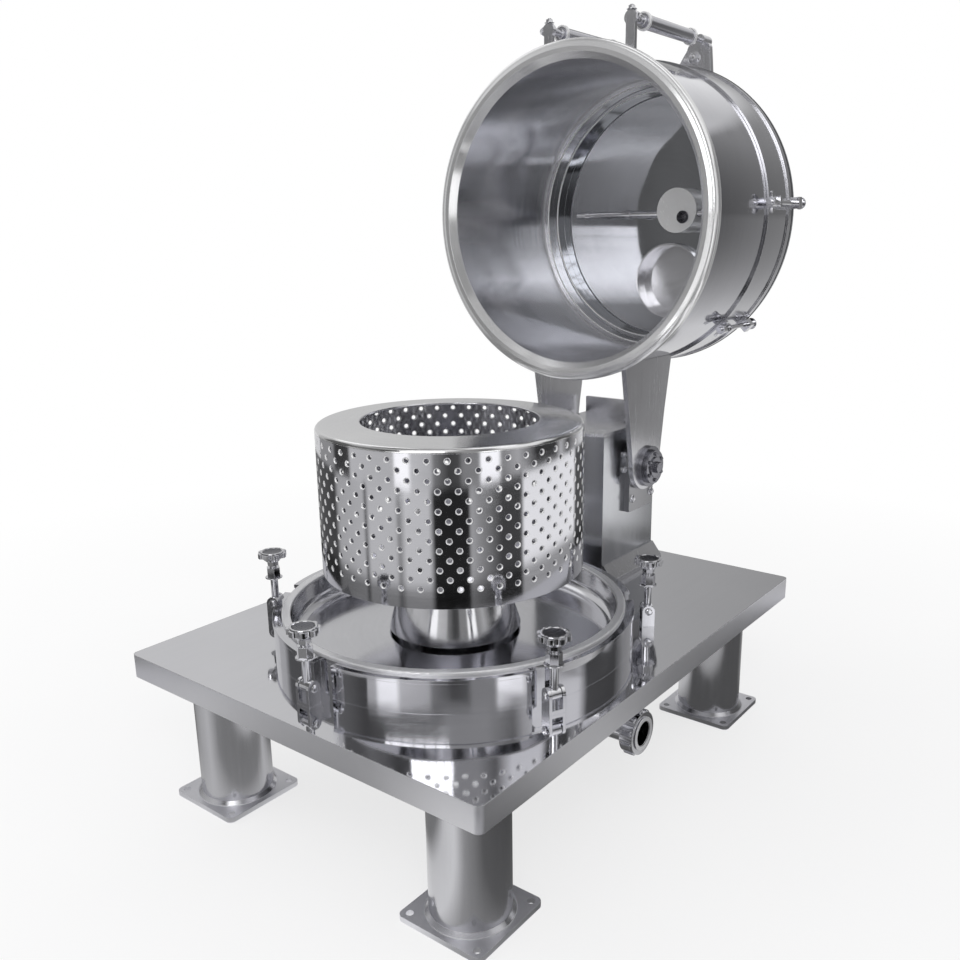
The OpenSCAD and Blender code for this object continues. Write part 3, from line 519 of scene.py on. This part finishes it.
def torus(major, minor, ripple=0.0, ripples=0):
    """Round bead about local Z; a ripple makes it a weld."""
    segments, sides = 180, 12
    bm = bmesh.new()
    rings = []
    for k in range(segments):
        a = 2 * math.pi * k / segments
        m = minor * (1 + ripple * math.sin(ripples * a))
        ring = []
        for j in range(sides):
            t = 2 * math.pi * j / sides
            r = major + m * math.cos(t)
            ring.append(bm.verts.new((r * math.cos(a), r * math.sin(a), m * math.sin(t))))
        rings.append(ring)
    for a, b in zip(rings, rings[1:] + rings[:1]):
        band(bm, a, b)
    return bm


def knob_details():
    """Each hand knob's dished top and rim, and its swing bolt's washer, nut and pin ends."""
    knob_mid, knob_half = 0.154, 0.011
    washer_top, washer_t, nut_low = 0.1022, 0.0026, 0.1322
    pin_end, pin_z = 0.0205, 0.038
    for k, angle in enumerate(CLAMPS):
        body = "swing_bolt_%d_body" % (k + 1)
        top = at_bolt(angle, knob_mid + knob_half)
        bm = lathe([(0, -0.0015), (0.0205, -0.0015), (0.0225, 0.0002), (0.0215, 0.0016), (0.0190, 0.0012),
                    (0.0120, 0.0006), (0.0, 0.0004)], 48)
        piece("knob_%d_dish" % (k + 1), bm, body, "knob_dark", at=top)
        bm = lathe([(0.0235, -0.001), (0.0285, 0.0006), (0.0275, 0.0022), (0.0240, 0.0024), (0.0226, 0.0010),
                    (0.0235, -0.001)], 48)
        piece("knob_%d_rim" % (k + 1), bm, body, "chrome", at=top)
        bm = bmesh.new()
        washer = lathe([(0.0092, 0), (0.0205, 0), (0.0205, 0.0018), (0.0195, washer_t), (0.0092, washer_t),
                        (0.0092, 0)], 40)
        join_into(bm, washer, Matrix.Translation((0, 0, washer_top - washer_t)))
        join_into(bm, hexagon(0.0145, 0.010), Matrix.Translation((0, 0, nut_low)))
        piece("swing_bolt_%d_nuts" % (k + 1), bm, body, "chrome", at=at_bolt(angle))
        bm = bmesh.new()
        for side in (-1, 1):
            tip = lathe([(0, 0), (0.0085, 0), (0.0085, 0.0015), (0.0065, 0.0032), (0, 0.0036)], 32)
            join_into(bm, tip, toward((0, side, 0), (0, side * pin_end, pin_z)))
        piece("swing_bolt_%d_pin_ends" % (k + 1), bm, body, "chrome", at=at_bolt(angle))


def hinge_details():
    """Nut and bolts on each hub, which turn with the cover, and the bolts in the ears and the box's sides."""
    cap_x, disc_x, hub_bolt_r = 0.1712, 0.1672, 0.036
    ear_x, ear_y, box_x, box_y = 0.1262, 0.051, 0.1102, 0.068
    hub = bmesh.new()
    box = bmesh.new()
    for side in (-1, 1):
        out = (side, 0, 0)
        join_into(hub, hexagon(0.016, 0.010), toward(out, (side * cap_x, PIVOT.y, PIVOT.z)))
        for i in range(6):
            a = math.radians(30 + 60 * i)
            spot = (side * disc_x, PIVOT.y + hub_bolt_r * math.cos(a), PIVOT.z + hub_bolt_r * math.sin(a))
            join_into(hub, bolt_mesh(0.0052, 0.005, washer=False), toward(out, spot))
        for y, z in ((-ear_y, -0.035), (-ear_y, -0.085), (ear_y, -0.035), (ear_y, -0.085)):
            join_into(box, bolt_mesh(0.0085, 0.006), toward(out, (side * ear_x, PIVOT.y + y, PIVOT.z + z)))
        for z in (0.135, 0.040, -0.002):
            join_into(box, bolt_mesh(0.0075, 0.006), toward(out, (side * box_x, PIVOT.y - box_y, PIVOT.z + z)))
    piece("hub_bolts", hub, "cover", "hub")
    piece("hinge_box_bolts", box, "root", "chrome")


def spring_details():
    """Caps, collars, nuts and bolts of the two springs on the cover."""
    lug_depth, lug_half = 0.104, 0.0172
    rear_collar, rear_nut, rear_bolts = 0.4022, 0.4128, 0.4657
    back, front = (0, 1, 0), (0, -1, 0)
    bm = bmesh.new()
    collars = bmesh.new()
    for side in (-1, 1):
        x, up = side * SPRING_X, SPRING_UP
        join_into(bm, lathe([(0, 0), (0.0125, 0), (0.0125, 0.009), (0.011, 0.0105), (0, 0.0105)], 32),
                  toward(back, on_cover(x, up, SPRING_TUBE - 0.011)))
        join_into(bm, bolt_mesh(0.009, 0.007), toward((0, 0, 1), on_cover(x, up + lug_half, lug_depth)))
        join_into(bm, bolt_mesh(0.0075, 0.006),
                  toward((side, 0, 0), on_cover(x + side * lug_half, up, lug_depth)))
        join_into(collars, lathe([(0.0172, 0), (0.0205, 0), (0.0215, 0.0012), (0.0215, 0.0085),
                                  (0.0205, 0.0097), (0.0172, 0.0097), (0.0172, 0)], 40),
                  toward(back, on_cover(x, up, SPRING_TUBE)))
        join_into(collars, lathe([(0.0172, 0), (0.0200, 0), (0.0208, 0.0012), (0.0208, 0.0066),
                                  (0.0200, 0.0078), (0.0172, 0.0078), (0.0172, 0)], 40),
                  toward(back, on_cover(x, up, rear_collar)))
        join_into(bm, hexagon(0.0095, 0.008), toward(back, on_cover(x, up, rear_nut)))
        join_into(bm, bolt_mesh(0.012, 0.008), toward(front, on_cover(side * 0.104, 0.408, rear_bolts)))
        join_into(bm, bolt_mesh(0.006, 0.005), toward(front, on_cover(side * 0.080, 0.4035, rear_bolts)))
    piece("spring_bolts", bm, "cover", "chrome")
    piece("spring_collars", collars, "cover", "collar")


def clamp_details():
    """Wings and end washers of the lid clamps' hand nuts."""
    nut_depth, washer_depth, half_t = 0.306, 0.4862, 0.0035
    outline = [(0.010, -0.010), (0.017, -0.012), (0.0245, -0.0125), (0.0265, -0.006), (0.0225, 0.004),
               (0.017, 0.011), (0.010, 0.012)]
    bm = bmesh.new()
    for angle in LID_CLAMPS:
        a = math.radians(angle)
        radial = Vector((math.cos(a), 0, math.sin(a)))
        round_way = Vector((-math.sin(a), 0, math.cos(a)))
        centre = on_cover(0, 0, nut_depth) + radial * LID_CLAMP_R
        axes = Matrix((round_way, radial, Vector((0, 1, 0)))).transposed().to_4x4()
        for side in (-1, 1):
            wing = bmesh.new()
            near, far = ([wing.verts.new((side * x, t, y)) for x, y in outline] for t in (-half_t, half_t))
            wing.faces.new(near)
            wing.faces.new(far[::-1])
            band(wing, near, far)
            bmesh.ops.recalc_face_normals(wing, faces=wing.faces)
            bmesh.ops.bevel(wing, geom=list(wing.edges), offset=0.0012, segments=2, affect="EDGES")
            join_into(bm, wing, Matrix.Translation(centre) @ axes)
        washer = lathe([(0.0062, 0), (0.0155, 0), (0.0155, 0.002), (0.0062, 0.002), (0.0062, 0)], 32)
        join_into(bm, washer, toward((0, 1, 0), on_cover(0, 0, washer_depth) + radial * LID_CLAMP_R))
    piece("lid_clamp_wings", bm, "cover", "chrome")


def spout_details():
    """Spout tube in the feed nozzle's front hole, open at both ends, with a lip in front."""
    at = toward((0, 1, 0), on_cover(0.105, 0.0, 0.4245))
    bm = lathe([(0.0122, 0), (0.0165, 0), (0.0172, 0.0012), (0.0172, 0.0040), (0.0139, 0.0042), (0.0139, 0.078),
                (0.0122, 0.078), (0.0122, 0)], 40)
    piece("feed_spout", bm, "cover", "knob_dark", at=at)


def drain_details():
    """Slots round the union nut, as a ring of raised lugs, and the pipe's end face."""
    lugs, lug_r = 10, 0.0465
    nut_x, face_x = 0.493, 0.508
    bm = bmesh.new()
    for k in range(lugs):
        lug = bmesh.new()
        bmesh.ops.create_cube(lug, size=1, matrix=Matrix.Diagonal((0.024, 0.013, 0.006, 1)))
        bmesh.ops.bevel(lug, geom=list(lug.edges), offset=0.0018, segments=3, affect="EDGES")
        turned = Matrix.Rotation(2 * math.pi * k / lugs, 4, "X") @ Matrix.Translation((0, 0, lug_r))
        join_into(bm, lug, Matrix.Translation((nut_x, AXIS_Y, DRAIN_Z)) @ turned)
    piece("drain_nut_lugs", bm, "root", "chrome")
    bm = lathe([(0.0272, 0), (0.0335, 0), (0.0360, 0.0015), (0.0360, 0.003), (0.0272, 0.003), (0.0272, 0)], 64)
    piece("drain_face", bm, "root", "rim", at=toward((1, 0, 0), (face_x, AXIS_Y, DRAIN_Z)))


def round_beads():
    """The pan's neck weld, the basket lip's edge, the edges of the lid's flange and dish, and its gasket."""
    back = (0, 1, 0)
    pan_z, lip_z = DECK_Z + 0.0125, BASKET_Z + WALL_H + 0.012
    piece("pan_neck_weld", torus(0.0845, 0.0022, ripple=0.12, ripples=140), "root", "collar",
          at=Matrix.Translation((0, AXIS_Y, pan_z)))
    piece("lip_edge_bead", torus(0.2032, 0.0030), "basket", "chrome",
          at=Matrix.Translation((0, AXIS_Y, lip_z)))
    for name, major, depth in (("lid_flange_edge", 0.3540, 0.4438), ("lid_dish_edge", 0.3362, 0.4668)):
        piece(name, torus(major, 0.0022), "cover", "collar",
              at=toward(back, on_cover(0, 0, depth)))
    piece("lid_gasket", torus(0.3985, 0.0026), "cover", "rubber",
          at=toward(back, on_cover(0, 0, 0.466)))


knob_details()
hinge_details()
spring_details()
clamp_details()
spout_details()
drain_details()
round_beads()


# Studio: pale floor, white background, soft lamps, and light and dark cards that only reflections see

def flat_material(name, build):
    mat, nt = new_material(name)
    set_surface(nt, build(nt))
    return mat


def glow(nt, level, strength=1.0):
    return put(nt, "ShaderNodeEmission", {"Color": level, "Strength": strength}).outputs[0]


def seen_rays(nt):
    """1 for camera, glossy and transmission rays, 0 for the rays that light things."""
    path = put(nt, "ShaderNodeLightPath").outputs
    return calc(nt, "MINIMUM", calc(nt, "ADD", calc(nt, "ADD", path["Is Camera Ray"], path["Is Glossy Ray"]),
                                    path["Is Transmission Ray"]), 1.0)


def floor_shader(nt):
    at = put(nt, "ShaderNodeTexCoord").outputs["Object"]
    far = put(nt, "ShaderNodeVectorMath", {0: at}, operation="LENGTH").outputs["Value"]
    cloud = noise(nt, at, 1.5, 4.0)
    colour = ramp(nt, cloud, [(0.3, (0.86, 0.86, 0.87, 1)), (0.7, (0.90, 0.90, 0.91, 1))])
    lit = put(nt, "ShaderNodeBsdfDiffuse", {"Color": colour}).outputs[0]
    fade = spread(nt, far, 0.9, 3.0, 0.70, 1.0)
    fac = calc(nt, "MULTIPLY", fade, seen_rays(nt))
    return put(nt, "ShaderNodeMixShader", {0: fac, 1: lit, 2: glow(nt, (1, 1, 1, 1))}).outputs[0]


def make_floor():
    bm = bmesh.new()
    bmesh.ops.create_circle(bm, cap_ends=True, radius=40, segments=64)
    obj = mesh_object("floor", bm, flat_material("floor_pale", floor_shader))


def turn_and_height(nt):
    """Turn round the object, from 0 to 1, and height. The photograph's camera stands at turn 0.355."""
    at = put(nt, "ShaderNodeTexCoord").outputs["Object"]
    x, y, z = put(nt, "ShaderNodeSeparateXYZ", {0: at}).outputs
    turn = calc(nt, "ADD", calc(nt, "DIVIDE", calc(nt, "ARCTAN2", y, x), 2 * math.pi), 0.5)
    return turn, z


def between(nt, value, lo, hi):
    return calc(nt, "MULTIPLY", calc(nt, "GREATER_THAN", value, lo), calc(nt, "LESS_THAN", value, hi))


def window_panes(nt, turn, z):
    """A tall window: bright panes with darker bars between them."""
    columns, rows, bar_dark, pane_bright = 62.0, 3.6, 0.5, 2.4
    across = calc(nt, "GREATER_THAN", calc(nt, "FRACT", calc(nt, "MULTIPLY", turn, columns)), 0.10)
    up = calc(nt, "GREATER_THAN", calc(nt, "FRACT", calc(nt, "MULTIPLY", z, rows)), 0.07)
    return spread(nt, calc(nt, "MULTIPLY", across, up), 0.0, 1.0, bar_dark, pane_bright)


def surround_shader(nt):
    """Walls of the studio: upright bands low down, broader ones above, more near the ceiling, and a window."""
    turn, z = turn_and_height(nt)
    mid = ramp(nt, turn, [
        (0.00, 0.30), (0.07, 0.30), (0.080, 0.04), (0.125, 0.05), (0.132, 0.55), (0.238, 0.50), (0.243, 1.2),
        (0.27, 1.2), (0.276, 0.60), (0.316, 0.50), (0.322, 0.22), (0.352, 0.06), (0.372, 0.08), (0.38, 0.25),
        (0.413, 0.25), (0.418, 1.2), (0.455, 1.2), (0.462, 0.25), (0.50, 0.45), (0.55, 0.03), (0.61, 0.04),
        (0.63, 0.5), (0.66, 0.06), (0.74, 0.7), (0.78, 0.7)])
    high = ramp(nt, turn, [
        (0.00, 0.46), (0.03, 0.44), (0.05, 0.10), (0.12, 0.10), (0.15, 0.16), (0.19, 0.12), (0.22, 0.06),
        (0.33, 0.16), (0.345, 0.28), (0.40, 0.28), (0.44, 0.12), (0.48, 0.70), (0.56, 0.70), (0.58, 0.08),
        (0.66, 0.06), (0.70, 0.26), (0.80, 0.38), (0.86, 0.50), (0.95, 0.60), (1.0, 0.58)])
    top = ramp(nt, turn, [
        (0.00, 0.7), (0.10, 0.4), (0.14, 0.3), (0.24, 0.4), (0.36, 0.6), (0.40, 0.15), (0.45, 0.12), (0.50, 0.9),
        (0.72, 0.6), (0.77, 0.9), (0.79, 0.24), (0.84, 0.24), (0.85, 1.1), (0.865, 1.1), (0.88, 0.34),
        (0.905, 0.38), (0.915, 1.0)])
    # On the photograph's side the low bands reach higher
    raised = calc(nt, "MULTIPLY", between(nt, turn, 0.225, 0.70), 0.48)
    to_high = spread(nt, calc(nt, "SUBTRACT", z, raised), 0.78, 0.84, 0.0, 1.0)
    to_top = spread(nt, z, 2.25, 2.35, 0.0, 1.0)
    window = calc(nt, "MULTIPLY", between(nt, turn, 0.250, 0.343), between(nt, z, 1.46, 3.00))
    level = blend_colours(nt, to_high, mid, high)
    level = blend_colours(nt, to_top, level, top)
    level = blend_colours(nt, window, level, window_panes(nt, turn, z))
    return glow(nt, level)


def ceiling_shader(nt):
    """Ceiling: rows of soft light panels with darker gaps between them."""
    at = put(nt, "ShaderNodeTexCoord").outputs["Object"]
    x, y, _ = put(nt, "ShaderNodeSeparateXYZ", {0: at}).outputs
    wave = calc(nt, "SINE", calc(nt, "MULTIPLY", y, 2.2))
    cross = calc(nt, "SINE", calc(nt, "MULTIPLY", x, 1.3))
    panel = spread(nt, wave, -0.1, 0.2, 0.30, 1.0)
    gaps = spread(nt, cross, -0.9, -0.7, 0.4, 1.0)
    return glow(nt, calc(nt, "MULTIPLY", panel, gaps))


def near_cards_shader(nt):
    """Nearer cards, up to half a metre: crisp upright bands, dimmer near the floor."""
    turn, z = turn_and_height(nt)
    bands = ramp(nt, turn, [
        (0.00, 0.10), (0.085, 0.06), (0.10, 0.42), (0.175, 0.50), (0.178, 0.05), (0.188, 0.55), (0.245, 0.55),
        (0.252, 0.22), (0.265, 0.62), (0.31, 0.60), (0.32, 0.02), (0.383, 0.02), (0.388, 0.42), (0.403, 0.30),
        (0.45, 0.06), (0.495, 0.06), (0.503, 0.92), (0.68, 0.92), (0.695, 0.08), (0.83, 0.1), (0.86, 0.4),
        (0.90, 0.15)])
    return glow(nt, bands, spread(nt, z, 0.18, 0.22, 0.35, 1.0))


def leg_cards_shader(nt):
    """Low cards round the legs and on the floor: soft upright bands under a plain grey strip."""
    turn, z = turn_and_height(nt)
    bands = ramp(nt, turn, [
        (0.00, 0.22), (0.08, 0.12), (0.13, 0.42), (0.17, 0.60), (0.20, 0.26), (0.26, 0.22), (0.285, 0.70),
        (0.32, 0.80), (0.34, 0.34), (0.38, 0.12), (0.46, 0.08), (0.49, 0.40), (0.54, 0.50), (0.57, 0.10),
        (0.65, 0.10), (0.70, 0.62), (0.92, 0.66), (0.97, 0.30), (1.00, 0.22)])
    to_strip = spread(nt, z, 0.235, 0.25, 0.0, 1.0)
    return glow(nt, blend_colours(nt, to_strip, bands, (0.46, 0.46, 0.48, 1)))


def card(name, bm, shader):
    """Studio card that only reflections see."""
    obj = mesh_object(name, bm, flat_material(name, shader))
    obj.visible_camera = False
    obj.visible_diffuse = False
    obj.visible_shadow = False
    obj.visible_transmission = False
    obj.visible_volume_scatter = False


def ring_card(name, radius, height, segments, shader):
    """Card all round the object, from the floor up."""
    bm = bmesh.new()
    bmesh.ops.create_cone(bm, cap_ends=False, segments=segments, radius1=radius, radius2=radius, depth=height,
                          matrix=Matrix.Translation((0, 0, height / 2)))
    card(name, bm, shader)


def flat_card(name, radius, z, segments, shader):
    """Level card under or over the object."""
    bm = bmesh.new()
    bmesh.ops.create_circle(bm, cap_ends=True, radius=radius, segments=segments,
                            matrix=Matrix.Translation((0, 0, z)))
    card(name, bm, shader)


def lamp(name, at, aim, size, power):
    data = bpy.data.lights.new(name, "AREA")
    data.shape = "RECTANGLE"
    data.size = size
    data.size_y = size
    data.energy = power
    obj = bpy.data.objects.new(name, data)
    obj.location = at
    obj.rotation_euler = (Vector(aim) - Vector(at)).to_track_quat("-Z", "Y").to_euler()
    obj.visible_glossy = False
    scene.collection.objects.link(obj)


def set_world():
    world = bpy.data.worlds.new("studio")
    scene.world = world
    world.use_nodes = True
    nt = world.node_tree
    nt.nodes.clear()
    plain = put(nt, "ShaderNodeBackground", {"Color": (1, 1, 1, 1), "Strength": 0.75}).outputs[0]
    white = put(nt, "ShaderNodeBackground", {"Color": (1, 1, 1, 1), "Strength": 1.0}).outputs[0]
    mix = put(nt, "ShaderNodeMixShader", {0: seen_rays(nt), 1: plain, 2: white}).outputs[0]
    out = put(nt, "ShaderNodeOutputWorld")
    nt.links.new(mix, out.inputs["Surface"])


ROOM_R, ROOM_H = 2.3, 4.0
LEG_CARDS_R = 0.92
ABOVE_FLOOR = 0.0012
LAMP_AIM = (0, 0, 0.8)

make_floor()
ring_card("studio_walls", ROOM_R, ROOM_H, 96, surround_shader)
flat_card("studio_ceiling", ROOM_R, ROOM_H, 96, ceiling_shader)
ring_card("studio_near_cards", 1.42, 0.52, 128, near_cards_shader)
ring_card("studio_leg_cards", LEG_CARDS_R, 0.30, 128, leg_cards_shader)
flat_card("studio_floor_card", LEG_CARDS_R, ABOVE_FLOOR, 128, leg_cards_shader)
set_world()
lamp("key", (2.6, -3.2, 3.6), LAMP_AIM, 2.2, 60)
lamp("fill", (-3.4, -1.6, 2.8), LAMP_AIM, 2.6, 30)
